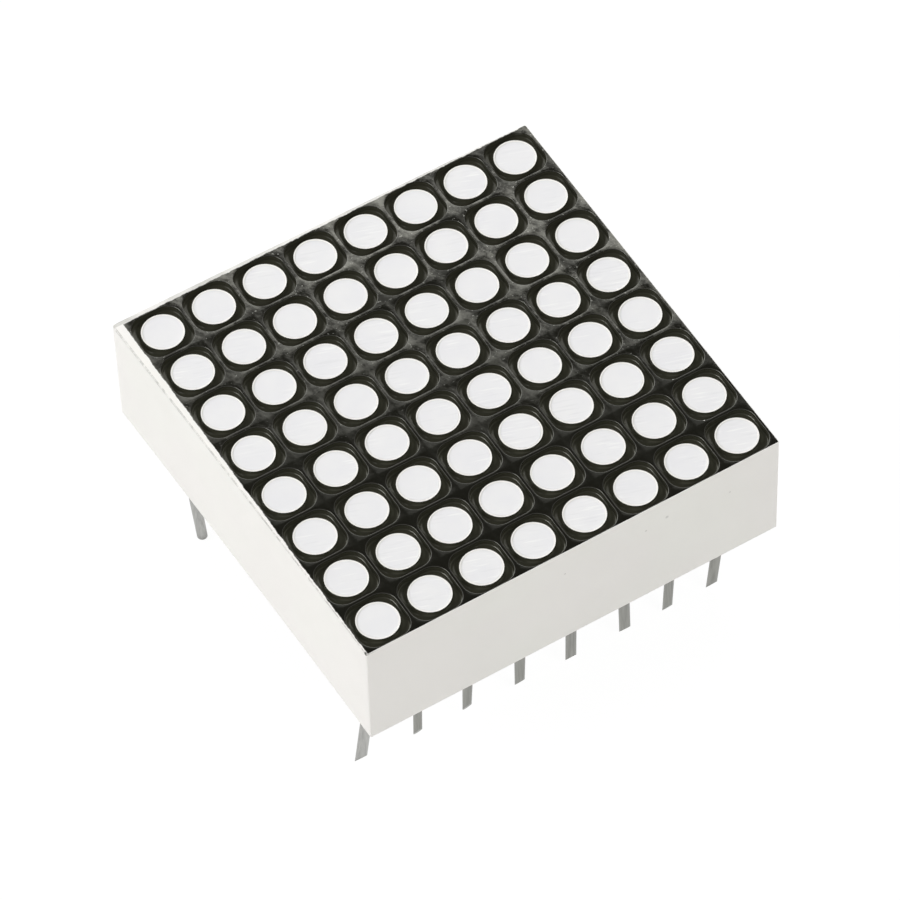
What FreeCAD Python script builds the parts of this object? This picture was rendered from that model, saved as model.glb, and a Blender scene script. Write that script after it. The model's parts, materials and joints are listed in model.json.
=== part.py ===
import FreeCAD, Part
import math
import os

import Sketcher

# Light-emitting dot matrix: a white moulded housing with eight by eight round dots, a board of
# dice behind them set in milky resin, and two rows of wire pins.
# Frame: X along the front edge, Y to the back, Z up. The origin lies under the middle of the
# housing, on the surface that the pin tips stand on.

doc = FreeCAD.newDocument("DotMatrix")

SIZES = (
    ("case_width", 20.1, "housing, along X"),
    ("case_depth", 20.0, "housing, along Y"),
    ("case_height", 6.1, "housing, from its rim to its face"),
    ("case_corner_radius", 0.25, "upright corners of the housing"),
    ("case_wall", 0.5, "side wall round the board bay"),
    ("bay_corner_radius", 0.4, "upright corners of the board bay"),
    ("dots_per_side", 8, "dots along X and along Y"),
    ("dot_pitch", 2.5, "from dot to dot, both ways"),
    ("dot_diameter", 1.9, "outside of the barrel round a dot"),
    ("dot_rim", 0.1, "wall of the barrel at its mouth"),
    ("dot_recess", 0.05, "dots lie this far under the face"),
    ("well_foot_diameter", 1.3, "light well where it opens to the board"),
    ("moat_depth", 0.45, "sunk moat round each barrel"),
    ("moat_corner_radius", 0.85, "corners of the moat"),
    ("web_width", 0.12, "web left between two moats"),
    ("boss_diameter", 0.8, "bosses that the board seats on"),
    ("boss_step", 3, "dot pitches from the middle to a corner boss, both ways"),
    ("resin_gap", 0.25, "resin layer between board and housing"),
    ("board_thickness", 1.2, "circuit board"),
    ("board_inset", 1.2, "board's underside in from the rim"),
    ("board_clearance", 0.1, "board to bay wall, each side"),
    ("board_corner_radius", 0.3, "corners of the board"),
    ("copper_thickness", 0.035, "tracks and pads"),
    ("track_width", 0.4, "row tracks and column tracks"),
    ("track_margin", 0.3, "from a row track's end to the board's edge"),
    ("track_gap", 0.08, "from a column track's end to the solder"),
    ("pad_side", 0.25, "square bond pad"),
    ("pad_offset", 0.48, "from a die's centre to its bond pad"),
    ("die_side", 0.25, "square die"),
    ("die_height", 0.15, "die"),
    ("wire_thickness", 0.04, "bond wire"),
    ("wire_rise", 0.16, "bond wire above its die"),
    ("pin_diameter", 0.5, "wire of the pins"),
    ("pin_reach", 6.0, "pins below the housing's rim"),
    ("pin_pitch", 2.54, "from pin to pin in a row"),
    ("pin_row_spacing", 15.24, "between the two rows"),
    ("pins_per_row", 8, "pins in a row"),
    ("pin_rows", 2, "rows of pins"),
    ("pin_hole_clearance", 0.05, "pin to board, all round"),
    ("pin_bend_radius", 1.0, "inside the bent pins, on the wire's centre line"),
    ("snip_rise", 0.8, "height of the slanting snip across a front pin"),
    ("snip_overrun", 0.5, "snip's outline past the wire, each side"),
    ("back_tip_chamfer", 0.12, "blunted ends of the back pins"),
    ("pin_1_lean", 7.0, "degrees, towards -X"),
    ("pin_1_bend_depth", 2.6, "bend below the rim"),
    ("pin_7_lean", 2.5, "degrees, towards -X"),
    ("pin_7_bend_depth", 0.2, "bend below the rim"),
    ("pin_8_lean", 6.0, "degrees, towards -X"),
    ("pin_8_bend_depth", 0.4, "bend below the rim"),
    ("pin_16_lean", 9.4, "degrees, towards -Y"),
    ("pin_16_bend_depth", -0.5, "bend above the rim, under the board"),
    ("solder_diameter", 1.2, "solder joint on the board"),
    ("solder_height", 0.6, "solder joint along its pin"),
)

sheet = doc.addObject("Spreadsheet::Sheet", "Sizes")
for row, (alias, value, note) in enumerate(SIZES, start=1):
    sheet.set(f"A{row}", note)
    sheet.set(f"B{row}", str(value))
    sheet.setAlias(f"B{row}", alias)
doc.recompute()

# Heights above the ground that several pieces share.
RIM = "Sizes.pin_reach"
FACE = "(Sizes.pin_reach + Sizes.case_height)"
DOT_TOP = "(Sizes.pin_reach + Sizes.case_height - Sizes.dot_recess)"
MOAT_FLOOR = "(Sizes.pin_reach + Sizes.case_height - Sizes.moat_depth)"
BOARD_UNDERSIDE = "(Sizes.pin_reach + Sizes.board_inset)"
BOARD_TOP = "(Sizes.pin_reach + Sizes.board_inset + Sizes.board_thickness)"
WELL_FOOT = "(Sizes.pin_reach + Sizes.board_inset + Sizes.board_thickness + Sizes.resin_gap)"
COPPER_TOP = f"({BOARD_TOP} + Sizes.copper_thickness)"
DIE_TOP = f"({COPPER_TOP} + Sizes.die_height)"

# Widths and places in plan.
BAY_WIDTH = "(Sizes.case_width - 2 * Sizes.case_wall)"
BAY_DEPTH = "(Sizes.case_depth - 2 * Sizes.case_wall)"
BOARD_WIDTH = f"({BAY_WIDTH} - 2 * Sizes.board_clearance)"
BOARD_DEPTH = f"({BAY_DEPTH} - 2 * Sizes.board_clearance)"
FIRST_DOT = "(-(Sizes.dots_per_side - 1) * Sizes.dot_pitch / 2)"
FIRST_PIN = "(-(Sizes.pins_per_row - 1) * Sizes.pin_pitch / 2)"
MOAT_WIDTH = "(Sizes.dot_pitch - Sizes.web_width)"
WELL_MOUTH_RADIUS = "(Sizes.dot_diameter / 2 - Sizes.dot_rim)"
WELL_FOOT_RADIUS = "(Sizes.well_foot_diameter / 2)"
WELL_HEIGHT = f"({DOT_TOP} - {WELL_FOOT})"


def size(name):
    """The plain number that the sheet holds under a name."""
    return float(sheet.get(name))


def new_body(label):
    body = doc.addObject("PartDesign::Body", label)
    body.Label = label
    body.AllowCompound = True
    return body


def origin_feature(body, role):
    """One of the body's own origin planes or axes."""
    return next(item for item in body.Origin.OriginFeatures if item.Role == role)


def attach(feature, body, plane, offset):
    """Seats a feature on an origin plane, moved by expressions for x, y and z in that plane."""
    feature.AttachmentSupport = [(origin_feature(body, plane), "")]
    feature.MapMode = "FlatFace"
    for axis, expression in zip("xyz", offset):
        if expression:
            feature.setExpression(f"AttachmentOffset.Base.{axis}", expression)


def new_sketch(body, name, plane="XY_Plane", offset=(None, None, None)):
    sketch = body.newObject("Sketcher::SketchObject", name)
    attach(sketch, body, plane, offset)
    return sketch


def drive(sketch, constraint, name, expression):
    """Adds a measured constraint and ties it to the sheet."""
    index = sketch.addConstraint(constraint)
    sketch.renameConstraint(index, name)
    sketch.setExpression(f"Constraints.{name}", expression)


def circle_sketch(body, name, diameter, offset=(None, None, None)):
    sketch = new_sketch(body, name, offset=offset)
    sketch.addGeometry(Part.Circle(FreeCAD.Vector(0, 0, 0), FreeCAD.Vector(0, 0, 1), 1.0), False)
    sketch.addConstraint(Sketcher.Constraint("Coincident", 0, 3, -1, 1))
    drive(sketch, Sketcher.Constraint("Diameter", 0, 2.0), "diameter", diameter)
    return sketch


def polygon_sketch(body, name, corners, plane="XY_Plane", offset=(None, None, None)):
    """A closed outline of straight edges, each corner held by an expression for x and for y."""
    sketch = new_sketch(body, name, plane, offset)
    count = len(corners)
    start = [FreeCAD.Vector(math.cos(math.tau * i / count), math.sin(math.tau * i / count), 0)
             for i in range(count)]
    for i in range(count):
        sketch.addGeometry(Part.LineSegment(start[i], start[(i + 1) % count]), False)
    for i in range(count):
        sketch.addConstraint(Sketcher.Constraint("Coincident", i, 2, (i + 1) % count, 1))
    for i, (across, up) in enumerate(corners):
        drive(sketch, Sketcher.Constraint("DistanceX", -1, 1, i, 1, start[i].x), f"x{i}", across)
        drive(sketch, Sketcher.Constraint("DistanceY", -1, 1, i, 1, start[i].y), f"y{i}", up)
    return sketch


def rectangle_sketch(body, name, width, depth, offset=(None, None, None)):
    """A rectangle centred on the sketch's origin."""
    corners = ((f"-{width} / 2", f"-{depth} / 2"), (f"{width} / 2", f"-{depth} / 2"),
               (f"{width} / 2", f"{depth} / 2"), (f"-{width} / 2", f"{depth} / 2"))
    return polygon_sketch(body, name, corners, offset=offset)


def rounded_sketch(body, name, width, depth, radius, offset=(None, None, None)):
    """A rectangle with round corners, centred on the sketch's origin."""
    sketch = new_sketch(body, name, offset=offset)
    half = 10.0
    round_off = 2.0
    inner = half - round_off
    up = FreeCAD.Vector(0, 0, 1)
    ends = (((-inner, -half), (inner, -half)), ((half, -inner), (half, inner)),
            ((inner, half), (-inner, half)), ((-half, inner), (-half, -inner)))
    centres = ((inner, -inner), (inner, inner), (-inner, inner), (-inner, -inner))
    for begin, end in ends:
        sketch.addGeometry(Part.LineSegment(FreeCAD.Vector(*begin, 0), FreeCAD.Vector(*end, 0)), False)
    for quarter, centre in enumerate(centres):
        ring = Part.Circle(FreeCAD.Vector(*centre, 0), up, round_off)
        turned = (quarter - 1) * math.pi / 2
        sketch.addGeometry(Part.ArcOfCircle(ring, turned, turned + math.pi / 2), False)
    for side in range(4):
        corner = side + 4
        sketch.addConstraint(Sketcher.Constraint("Tangent", side, 2, corner, 1))
        sketch.addConstraint(Sketcher.Constraint("Tangent", corner, 2, (side + 1) % 4, 1))
        sketch.addConstraint(Sketcher.Constraint("Vertical" if side % 2 else "Horizontal", side))
    for corner in (5, 6, 7):
        sketch.addConstraint(Sketcher.Constraint("Equal", 4, corner))
    sketch.addConstraint(Sketcher.Constraint("Symmetric", 7, 3, 5, 3, -1, 1))
    drive(sketch, Sketcher.Constraint("DistanceX", 3, 1, 1, 1, 2 * half), "width", width)
    drive(sketch, Sketcher.Constraint("DistanceY", 0, 1, 2, 1, 2 * half), "depth", depth)
    drive(sketch, Sketcher.Constraint("Radius", 4, round_off), "radius", radius)
    return sketch


def pad(body, sketch, name, length):
    feature = body.newObject("PartDesign::Pad", name)
    feature.Profile = sketch
    feature.setExpression("Length", length)
    return feature


def pocket(body, sketch, name, length, upwards=False):
    """Cuts down from the sketch, or up into the body."""
    feature = body.newObject("PartDesign::Pocket", name)
    feature.Profile = sketch
    feature.Reversed = upwards
    feature.setExpression("Length", length)
    return feature


def line_of_copies(body, name, axis, pitch, count):
    """A linear pattern along one of the body's own axes."""
    pattern = body.newObject("PartDesign::LinearPattern", name)
    pattern.Direction = (origin_feature(body, axis), [""])
    pattern.Mode = "Spacing"
    pattern.setExpression("Offset", pitch)
    pattern.setExpression("Occurrences", count)
    return pattern


def repeat(body, name, originals, axis, pitch, count):
    """Repeats features in one line."""
    pattern = line_of_copies(body, name, axis, pitch, count)
    pattern.Originals = originals
    body.Tip = pattern
    return pattern


def repeat_on_grid(body, name, originals, across, along):
    """Repeats features in rows and columns. Each direction is a pitch and a count."""
    grid = body.newObject("PartDesign::MultiTransform", name)
    grid.Originals = originals
    grid.Transformations = [line_of_copies(body, f"{name}Across", "X_Axis", *across),
                            line_of_copies(body, f"{name}Along", "Y_Axis", *along)]
    body.Tip = grid
    return grid


def repeat_at_dots(body, name, originals):
    direction = ("Sizes.dot_pitch", "Sizes.dots_per_side")
    return repeat_on_grid(body, name, originals, direction, direction)


def well_cone(body, kind, name):
    """The tapered light well of the first dot, cut in the housing and filled in the resin."""
    cone = body.newObject(kind, name)
    attach(cone, body, "XY_Plane", (FIRST_DOT, FIRST_DOT, WELL_FOOT))
    cone.setExpression("Radius1", WELL_FOOT_RADIUS)
    cone.setExpression("Radius2", WELL_MOUTH_RADIUS)
    cone.setExpression("Height", WELL_HEIGHT)
    return cone


def boss_places():
    """Expressions for the bosses, which stand between dots: one in the middle and four near the
    corners."""
    step = "Sizes.boss_step * Sizes.dot_pitch"
    corners = [(f"{side_x}{step}", f"{side_y}{step}") for side_x in ("-", "") for side_y in ("-", "")]
    return [(None, None)] + corners


def make_reflector_housing():
    """White moulding: walls round a bay at the back, and a thick face plate with a tapered light
    well, a barrel and a sunk moat at each dot."""
    body = new_body("reflector_housing")
    outline = rounded_sketch(body, "CaseOutline", "Sizes.case_width", "Sizes.case_depth",
                             "Sizes.case_corner_radius", (None, None, RIM))
    pad(body, outline, "CaseBlock", "Sizes.case_height")

    bay = rounded_sketch(body, "BayOutline", BAY_WIDTH, BAY_DEPTH, "Sizes.bay_corner_radius",
                         (None, None, RIM))
    pocket(body, bay, "BoardBay", f"{WELL_FOOT} - {RIM}", upwards=True)

    for number, (across, along) in enumerate(boss_places(), start=1):
        ring = circle_sketch(body, f"BossOutline{number}", "Sizes.boss_diameter", (across, along, BOARD_TOP))
        pad(body, ring, f"Boss{number}", "Sizes.resin_gap")

    moat = rounded_sketch(body, "MoatOutline", MOAT_WIDTH, MOAT_WIDTH, "Sizes.moat_corner_radius",
                          (FIRST_DOT, FIRST_DOT, FACE))
    moat_cut = pocket(body, moat, "Moat", "Sizes.moat_depth")
    ring = circle_sketch(body, "BarrelOutline", "Sizes.dot_diameter", (FIRST_DOT, FIRST_DOT, MOAT_FLOOR))
    barrel = pad(body, ring, "Barrel", "Sizes.moat_depth - Sizes.dot_recess")
    well = well_cone(body, "PartDesign::SubtractiveCone", "LightWell")
    repeat_at_dots(body, "DotGrid", [moat_cut, barrel, well])
    return body


def make_circuit_board():
    body = new_body("circuit_board")
    outline = rounded_sketch(body, "BoardOutline", BOARD_WIDTH, BOARD_DEPTH, "Sizes.board_corner_radius",
                             (None, None, BOARD_UNDERSIDE))
    pad(body, outline, "BoardPlate", "Sizes.board_thickness")
    hole = circle_sketch(body, "PinHoleOutline", "Sizes.pin_diameter + 2 * Sizes.pin_hole_clearance",
                         (FIRST_PIN, "-Sizes.pin_row_spacing / 2", BOARD_UNDERSIDE))
    drilled = pocket(body, hole, "PinHole", "Sizes.board_thickness", upwards=True)
    repeat_on_grid(body, "PinHoles", [drilled], ("Sizes.pin_pitch", "Sizes.pins_per_row"),
                   ("Sizes.pin_row_spacing", "Sizes.pin_rows"))
    return body


def make_row_tracks():
    """Copper strips along X on the board's top, one under each row of dice."""
    body = new_body("row_tracks")
    outline = rectangle_sketch(body, "RowTrackOutline", f"({BOARD_WIDTH} - 2 * Sizes.track_margin)",
                               "Sizes.track_width", (None, FIRST_DOT, BOARD_TOP))
    strip = pad(body, outline, "RowTrack", "Sizes.copper_thickness")
    repeat(body, "RowTracks", [strip], "Y_Axis", "Sizes.dot_pitch", "Sizes.dots_per_side")
    return body


def make_column_tracks():
    """Copper strips along Y on the board's underside, between the two rows of solder joints."""
    body = new_body("column_tracks")
    clear_of_solder = "(Sizes.pin_row_spacing - Sizes.solder_diameter - 2 * Sizes.track_gap)"
    outline = rectangle_sketch(body, "ColumnTrackOutline", "Sizes.track_width", clear_of_solder,
                               (FIRST_DOT, None, f"{BOARD_UNDERSIDE} - Sizes.copper_thickness"))
    strip = pad(body, outline, "ColumnTrack", "Sizes.copper_thickness")
    repeat(body, "ColumnTracks", [strip], "X_Axis", "Sizes.dot_pitch", "Sizes.dots_per_side")
    return body


def make_bond_pads():
    """Small copper pads beside the dice, where the bond wires land."""
    body = new_body("bond_pads")
    outline = rectangle_sketch(body, "BondPadOutline", "Sizes.pad_side", "Sizes.pad_side",
                               (FIRST_DOT, f"{FIRST_DOT} - Sizes.pad_offset", BOARD_TOP))
    square = pad(body, outline, "BondPad", "Sizes.copper_thickness")
    repeat_at_dots(body, "BondPads", [square])
    return body


def row_place(row):
    """Expression for the Y of a row of dots, counted from the front."""
    return f"{FIRST_DOT} + {row - 1} * Sizes.dot_pitch"


def make_dice(row):
    """One row of dice on its track."""
    body = new_body(f"led_dice_row_{row}")
    outline = rectangle_sketch(body, f"DieOutline{row}", "Sizes.die_side", "Sizes.die_side",
                               (FIRST_DOT, row_place(row), COPPER_TOP))
    die = pad(body, outline, f"Die{row}", "Sizes.die_height")
    repeat(body, f"Dice{row}", [die], "X_Axis", "Sizes.dot_pitch", "Sizes.dots_per_side")
    return body


def make_bond_wires(row):
    """One row of bond wires: each rises from its die and slopes down to its pad."""
    body = new_body(f"bond_wires_row_{row}")
    half = "Sizes.wire_thickness / 2"
    loop_top = f"{DIE_TOP} + Sizes.wire_rise"
    die_y = row_place(row)
    pad_y = f"{die_y} - Sizes.pad_offset"
    # Sketched in the YZ plane, where the sketch's x is the body's Y and its y is Z.
    corners = ((f"{die_y} + {half}", DIE_TOP),
               (f"{die_y} + {half}", loop_top),
               (f"{die_y} - {half}", loop_top),
               (f"{pad_y} - {half}", COPPER_TOP),
               (f"{pad_y} + {half}", COPPER_TOP),
               (f"{die_y} - {half}", f"{loop_top} - 2 * Sizes.wire_thickness"),
               (f"{die_y} - {half}", DIE_TOP))
    outline = polygon_sketch(body, f"WireOutline{row}", corners, plane="YZ_Plane",
                             offset=(None, None, FIRST_DOT))
    wire = pad(body, outline, f"Wire{row}", "Sizes.wire_thickness")
    wire.SideType = "Symmetric"
    repeat(body, f"Wires{row}", [wire], "X_Axis", "Sizes.dot_pitch", "Sizes.dots_per_side")
    return body


def make_resin_fill(embedded):
    """Milky resin: a thin layer over the board and a tapered plug up each light well, with the
    housing's bosses and the embedded copper, dice and wires left out of it."""
    body = new_body("ResinCast")
    layer = rounded_sketch(body, "LayerOutline", BAY_WIDTH, BAY_DEPTH, "Sizes.bay_corner_radius",
                           (None, None, BOARD_TOP))
    pad(body, layer, "ResinLayer", "Sizes.resin_gap")
    for number, (across, along) in enumerate(boss_places(), start=1):
        ring = circle_sketch(body, f"BossHole{number}", "Sizes.boss_diameter", (across, along, BOARD_TOP))
        pocket(body, ring, f"BossCut{number}", "Sizes.resin_gap", upwards=True)
    plug = well_cone(body, "PartDesign::AdditiveCone", "Plug")
    repeat_at_dots(body, "PlugGrid", [plug])

    inside = doc.addObject("Part::Compound", "Embedded")
    inside.Links = embedded
    resin = doc.addObject("Part::Cut", "resin_fill")
    resin.Label = "resin_fill"
    resin.Base = body
    resin.Tool = inside
    return resin


def bent_path(body, lean, bend_depth):
    """Centre line of a bent pin in the XZ plane: down, round the bend and out to the tip."""
    sketch = new_sketch(body, "BentPath", "XZ_Plane")
    angle = math.radians(size(lean))
    radius = size("pin_bend_radius")
    top = size("pin_reach") + size("board_inset") + size("board_thickness")
    bend_height = size("pin_reach") - size(bend_depth)
    bend = FreeCAD.Vector(0, bend_height, 0)
    leaving = bend + FreeCAD.Vector(radius * (1 - math.cos(angle)), -radius * math.sin(angle), 0)
    tip = FreeCAD.Vector(leaving.x + leaving.y * math.tan(angle), 0, 0)
    ring = Part.Circle(bend + FreeCAD.Vector(radius, 0, 0), FreeCAD.Vector(0, 0, 1), radius)
    sketch.addGeometry(Part.LineSegment(FreeCAD.Vector(0, top, 0), bend), False)
    sketch.addGeometry(Part.ArcOfCircle(ring, math.pi, math.pi + angle), False)
    sketch.addGeometry(Part.LineSegment(leaving, tip), False)
    sketch.addConstraint(Sketcher.Constraint("PointOnObject", 0, 1, -2))
    sketch.addConstraint(Sketcher.Constraint("Vertical", 0))
    sketch.addConstraint(Sketcher.Constraint("Tangent", 0, 2, 1, 1))
    sketch.addConstraint(Sketcher.Constraint("Tangent", 1, 2, 2, 1))
    drive(sketch, Sketcher.Constraint("DistanceY", -1, 1, 0, 1, top), "top", BOARD_TOP)
    drive(sketch, Sketcher.Constraint("DistanceY", -1, 1, 0, 2, bend_height), "bend",
          f"{RIM} - Sizes.{bend_depth}")
    drive(sketch, Sketcher.Constraint("Radius", 1, radius), "radius", "Sizes.pin_bend_radius")
    drive(sketch, Sketcher.Constraint("DistanceX", 1, 1, 1, 2, leaving.x), "turn",
          f"Sizes.pin_bend_radius * (1 - cos(Sizes.{lean} * 1 deg))")
    drive(sketch, Sketcher.Constraint("DistanceY", -1, 1, 2, 2, 0.0), "tip",
          f"Sizes.pin_diameter / 2 * sin(Sizes.{lean} * 1 deg)")
    return sketch


def make_pin(number, lean=None, bend_depth=None):
    """One wire pin. Pins count along the front row from the left and back along the back row.
    Its own +X is the way it leans: -X in the front row, -Y in the back row. A straight pin's free
    length, over which a socket slides, keeps a face of its own below the root in the board."""
    front = number <= size("pins_per_row")
    body = new_body(f"pin_{number}")
    if lean:
        path = bent_path(body, lean, bend_depth)
        section = circle_sketch(body, "WireSection", "Sizes.pin_diameter", (None, None, BOARD_TOP))
        wire = body.newObject("PartDesign::AdditivePipe", "BentWire")
        wire.Profile = section
        wire.Spine = (path, ["Edge1", "Edge2", "Edge3"])
    else:
        section = circle_sketch(body, "WireSection", "Sizes.pin_diameter")
        pad(body, section, "FreeLength", BOARD_UNDERSIDE)
        root = circle_sketch(body, "RootSection", "Sizes.pin_diameter", (None, None, BOARD_UNDERSIDE))
        wire = pad(body, root, "Root", "Sizes.board_thickness")
        wire.Refine = False
    if front:
        # A straight slanting snip, high at the front of the wire and sharp at its back.
        slope = "(Sizes.snip_rise / Sizes.pin_diameter)"
        reach = "(Sizes.pin_diameter / 2 + Sizes.snip_overrun)"
        low = f"-Sizes.snip_overrun * {slope}"
        high = f"(Sizes.pin_diameter + Sizes.snip_overrun) * {slope}"
        waste = polygon_sketch(body, "SnipOutline", ((f"-{reach}", low), (reach, low), (reach, high)),
                               plane="YZ_Plane")
        # Wide enough for the tip of a pin that leans sideways.
        snip = pocket(body, waste, "Snip", "2 * Sizes.pin_reach")
        snip.SideType = "Symmetric"
        snip.Refine = False
    else:
        doc.recompute()
        tip = min(range(len(wire.Shape.Edges)), key=lambda i: wire.Shape.Edges[i].BoundBox.ZMax)
        blunt = body.newObject("PartDesign::Chamfer", "BluntTip")
        blunt.Base = (wire, [f"Edge{tip + 1}"])
        blunt.setExpression("Size", "Sizes.back_tip_chamfer")
        blunt.Refine = False
    in_row = number - 1 if front else 2 * int(size("pins_per_row")) - number
    turn = FreeCAD.Rotation(FreeCAD.Vector(0, 0, 1), 180 if front else -90)
    body.Placement = FreeCAD.Placement(FreeCAD.Vector(0, 0, 0), turn)
    body.setExpression("Placement.Base.x", f"{FIRST_PIN} + {in_row} * Sizes.pin_pitch")
    body.setExpression("Placement.Base.y", f"{'-' if front else ''}Sizes.pin_row_spacing / 2")
    return body


def make_solder_joints(label, side):
    """One row of solder cones on the board's underside, each round its pin."""
    body = new_body(label)
    cone = body.newObject("PartDesign::AdditiveCone", "SolderCone")
    row_y = f"{side}Sizes.pin_row_spacing / 2"
    attach(cone, body, "XY_Plane", (FIRST_PIN, row_y, f"{BOARD_UNDERSIDE} - Sizes.solder_height"))
    cone.setExpression("Radius1", "Sizes.pin_diameter / 2 + Sizes.pin_hole_clearance")
    cone.setExpression("Radius2", "Sizes.solder_diameter / 2")
    cone.setExpression("Height", "Sizes.solder_height")
    ring = circle_sketch(body, "PinBoreOutline", "Sizes.pin_diameter", (FIRST_PIN, row_y, BOARD_UNDERSIDE))
    bore = pocket(body, ring, "PinBore", "Sizes.solder_height")
    repeat(body, "SolderRow", [cone, bore], "X_Axis", "Sizes.pin_pitch", "Sizes.pins_per_row")
    return body


def make_all():
    side = int(size("dots_per_side"))
    tracks = make_row_tracks()
    pads = make_bond_pads()
    dice = [make_dice(row) for row in range(1, side + 1)]
    wires = [make_bond_wires(row) for row in range(1, side + 1)]
    bends = {number: (f"pin_{number}_lean", f"pin_{number}_bend_depth") for number in (1, 7, 8, 16)}
    pins = [make_pin(number, *bends.get(number, (None, None)))
            for number in range(1, 2 * int(size("pins_per_row")) + 1)]
    solder = [make_solder_joints("solder_joints_front", "-"), make_solder_joints("solder_joints_back", "")]
    return [make_reflector_housing(), make_resin_fill([tracks, pads] + dice + wires),
            make_circuit_board(), tracks, make_column_tracks(), pads] + dice + wires + pins + solder


def check_and_export(pieces):
    """Stops on any failed object, then writes one file for each piece."""
    doc.recompute()
    for item in doc.Objects:
        if "Invalid" in item.State or "Error" in item.State:
            raise RuntimeError(f"{item.Label} did not build: {item.State}")
    os.makedirs("parts", exist_ok=True)
    for piece in pieces:
        shape = piece.Shape
        if shape.isNull() or not shape.isValid():
            raise RuntimeError(f"{piece.Label} has no valid shape")
        shape.exportStep(f"parts/{piece.Label}.step")
        print(f"{piece.Label}: {len(shape.Solids)} solids, {shape.Volume:.3f} mm3")


check_and_export(make_all())
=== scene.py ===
# %% [markdown]
# A dot matrix display for a circuit board: a white moulded housing with a black face, sixty-four
# round dots of milky resin, a board inside and sixteen wire pins below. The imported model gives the
# size and place of every piece, so it is loaded first. It holds the board, the dice and the other
# hidden pieces as they are. This lesson gives them their finish, and makes again, in fine meshes,
# the pieces that the eye meets: housing, dots, pins and solder.

# %% Load the frame
import json
import math

import bmesh
import bpy
import numpy as np
from mathutils import Matrix, Vector


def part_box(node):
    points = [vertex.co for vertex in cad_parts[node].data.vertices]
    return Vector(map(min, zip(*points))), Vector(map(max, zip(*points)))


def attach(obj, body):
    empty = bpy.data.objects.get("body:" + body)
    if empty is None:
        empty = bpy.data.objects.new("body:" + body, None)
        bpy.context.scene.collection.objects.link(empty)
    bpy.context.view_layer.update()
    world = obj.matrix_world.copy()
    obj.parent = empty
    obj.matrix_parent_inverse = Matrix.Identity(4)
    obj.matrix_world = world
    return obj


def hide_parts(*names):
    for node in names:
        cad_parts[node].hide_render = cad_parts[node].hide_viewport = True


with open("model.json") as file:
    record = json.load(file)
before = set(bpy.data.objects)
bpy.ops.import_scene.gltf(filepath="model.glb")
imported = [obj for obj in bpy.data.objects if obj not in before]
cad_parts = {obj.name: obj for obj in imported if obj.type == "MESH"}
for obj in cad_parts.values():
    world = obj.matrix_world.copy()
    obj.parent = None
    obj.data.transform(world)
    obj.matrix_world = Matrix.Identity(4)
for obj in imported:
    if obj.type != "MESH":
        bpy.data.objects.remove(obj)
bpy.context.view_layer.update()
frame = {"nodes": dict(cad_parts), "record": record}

MM = 0.001

# %% [markdown]
# Sizes are worked out in millimetres, because that is how such a part is drawn, and turned into
# metres only when a mesh is written. What the frame can tell is read from its boxes: the housing's
# outside and the board. The rest are the small forms of the face: dots 2.5 mm apart, each a round
# barrel that stands in a sunk moat with round corners.

# %% Sizes, in millimetres

def box_mm(node):
    """Lowest and highest corner of a model node, in millimetres, as two arrays."""
    low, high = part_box(node)
    return np.array(low) / MM, np.array(high) / MM


CASE_LOW, CASE_HIGH = box_mm("reflector_housing")
BOARD_LOW, BOARD_HIGH = box_mm("circuit_board")
CASE_HALF = CASE_HIGH[:2]
RIM, FACE = CASE_LOW[2], CASE_HIGH[2]
UNDERSIDE, BOARD_TOP = BOARD_LOW[2], BOARD_HIGH[2]

DOTS = 8
PITCH = 2.5
CELL_HALF = PITCH / 2
CASE_CORNER = 0.07
CASE_WALL = 0.5
BAY_CORNER = 0.4
BAY_HALF = CASE_HALF - CASE_WALL
EDGE_ROUND = 0.03
RIM_ROUND = 0.06
CEILING = BOARD_TOP + 0.25

MOAT_HALF = 1.165
MOAT_CORNER = 0.7
MOAT_DEPTH = 0.32
MOAT_LIP = 0.045
MOAT_FILLET = 0.07
BARREL = 0.95
BARREL_ROUND = 0.02
WELL_MOUTH = 0.85
WELL_FOOT = 0.65
DOT_TOP = FACE - 0.05
MOAT_FLOOR = FACE - MOAT_DEPTH
# Lengths in mm below this count as nothing.
TINY = 1e-7
print("face at", FACE, "board from", UNDERSIDE, "to", BOARD_TOP, "half sizes", CASE_HALF)

# %% [markdown]
# Most surfaces here are grids: rows of points, each row a closed loop round a dot, a pin or the
# case. Blender's own primitives would give round shapes only, and a boolean of sixty-four cups
# leaves long thin faces, so the grids are worked out with numpy and share their points where two
# of them meet. Merging those doubles closes the seams.

# %% Grids and pieces
# Points nearer than this, in metres, become one.
MERGE = 2e-7


def loop_faces(rows, columns):
    """Quads between neighbouring rows of closed loops: point (r, c) joins (r, c + 1) round the loop
    and (r + 1, c) on the next one."""
    row, column = np.meshgrid(np.arange(rows - 1), np.arange(columns), indexing="ij")
    here = row * columns + column
    beside = row * columns + (column + 1) % columns
    return np.stack([here, beside, beside + columns, here + columns], axis=-1).reshape(-1, 4)


def repeated(faces, points_each, copies):
    """The same faces for each of several copies whose points follow one another."""
    steps = np.arange(copies)[:, None, None] * points_each
    return (faces[None] + steps).reshape(-1, 4)


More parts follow.
